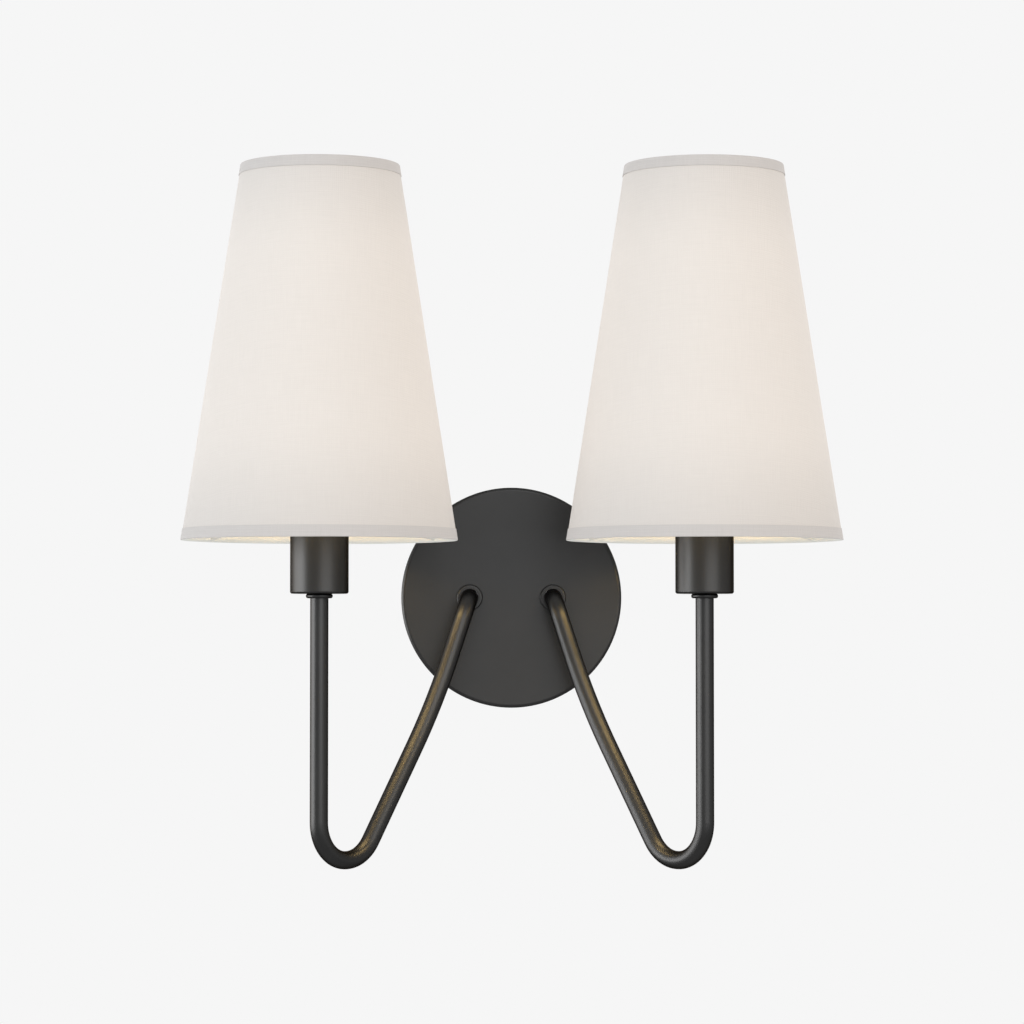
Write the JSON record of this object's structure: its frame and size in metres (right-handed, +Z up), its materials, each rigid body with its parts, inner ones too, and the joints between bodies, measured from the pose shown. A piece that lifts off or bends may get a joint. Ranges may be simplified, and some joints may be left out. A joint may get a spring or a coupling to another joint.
{
  "type": "double arm wall sconce",
  "caption": "Wall light with a round canopy, two bent tube arms that rise from low hooks, metal socket cups and tapered linen shades over candelabra lamps.",
  "frame": {"origin": "the centre of the canopy's open back, on the wall", "axes": "+X to the right as one faces the sconce, -Y out of the wall into the room, +Z up"},
  "size_m": [0.3622, 0.1957, 0.3865],
  "materials": {
    "bronze_finish": "satin dark bronze over steel",
    "zinc_plate": "bright zinc plate",
    "black_screws": "black oxide",
    "green_screw": "green dyed zinc plate",
    "tinned_copper": "tinned",
    "connector_plastic": "moulded",
    "lampholder_white": "moulded",
    "brass_contacts": "stamped",
    "black_insulation": "smooth",
    "white_insulation": "smooth",
    "green_insulation": "smooth",
    "linen": "plain weave linen on a stiff white liner",
    "linen_tape": "folded linen tape",
    "white_enamel": "white enamel",
    "lamp_cap": "rolled",
    "lamp_glass": "clear",
    "filament": "phosphor coated"
  },
  "bodies": {
    "fixture": {"wall_canopy": "bronze_finish", "crossbar": "zinc_plate", "canopy_grub_screws": "black_screws", "ground_screw": "green_screw", "ground_terminals": "tinned_copper", "ground_wire": "green_insulation", "arm_nuts": "zinc_plate", "arm_lock_washers": "zinc_plate", "wire_connectors": "connector_plastic", "left_arm_tube": "bronze_finish", "left_exit_collar": "bronze_finish", "left_neck_collar": "bronze_finish", "left_socket_cup": "bronze_finish", "left_lampholder": "lampholder_white", "left_shade_ring": "lampholder_white", "left_screw_shell": "brass_contacts", "left_centre_contact": "brass_contacts", "left_hot_wire": "black_insulation", "left_neutral_wire": "white_insulation", "right_arm_tube": "bronze_finish", "right_exit_collar": "bronze_finish", "right_neck_collar": "bronze_finish", "right_socket_cup": "bronze_finish", "right_lampholder": "lampholder_white", "right_shade_ring": "lampholder_white", "right_screw_shell": "brass_contacts", "right_centre_contact": "brass_contacts", "right_hot_wire": "black_insulation", "right_neutral_wire": "white_insulation"},
    "left_shade": {"left_shade_panel": "linen", "left_shade_bottom_trim": "linen_tape", "left_shade_top_trim": "linen_tape", "left_shade_top_hoop": "white_enamel", "left_shade_bottom_hoop": "white_enamel", "left_shade_seat_ring": "white_enamel", "left_shade_spokes": "white_enamel"},
    "right_shade": {"right_shade_panel": "linen", "right_shade_bottom_trim": "linen_tape", "right_shade_top_trim": "linen_tape", "right_shade_top_hoop": "white_enamel", "right_shade_bottom_hoop": "white_enamel", "right_shade_seat_ring": "white_enamel", "right_shade_spokes": "white_enamel"},
    "left_lamp": {"left_lamp_base": "lamp_cap", "left_lamp_glass": "lamp_glass", "left_lamp_filaments": "filament"},
    "right_lamp": {"right_lamp_base": "lamp_cap", "right_lamp_glass": "lamp_glass", "right_lamp_filaments": "filament"}
  },
  "joints": [
    {"name": "left_shade_turn", "type": "hinge", "parent": "fixture", "child": "left_shade", "pos_m": [-0.1053, -0.12, 0.045], "axis": [0, 0, 1], "continuous": true},
    {"name": "left_lamp_out", "type": "slide", "parent": "fixture", "child": "left_lamp", "axis": [0, 0, 1], "range_m": [0, 0.01]},
    {"name": "right_shade_turn", "type": "hinge", "parent": "fixture", "child": "right_shade", "pos_m": [0.1053, -0.12, 0.045], "axis": [0, 0, 1], "continuous": true},
    {"name": "right_lamp_out", "type": "slide", "parent": "fixture", "child": "right_lamp", "axis": [0, 0, 1], "range_m": [0, 0.01]}
  ]
}
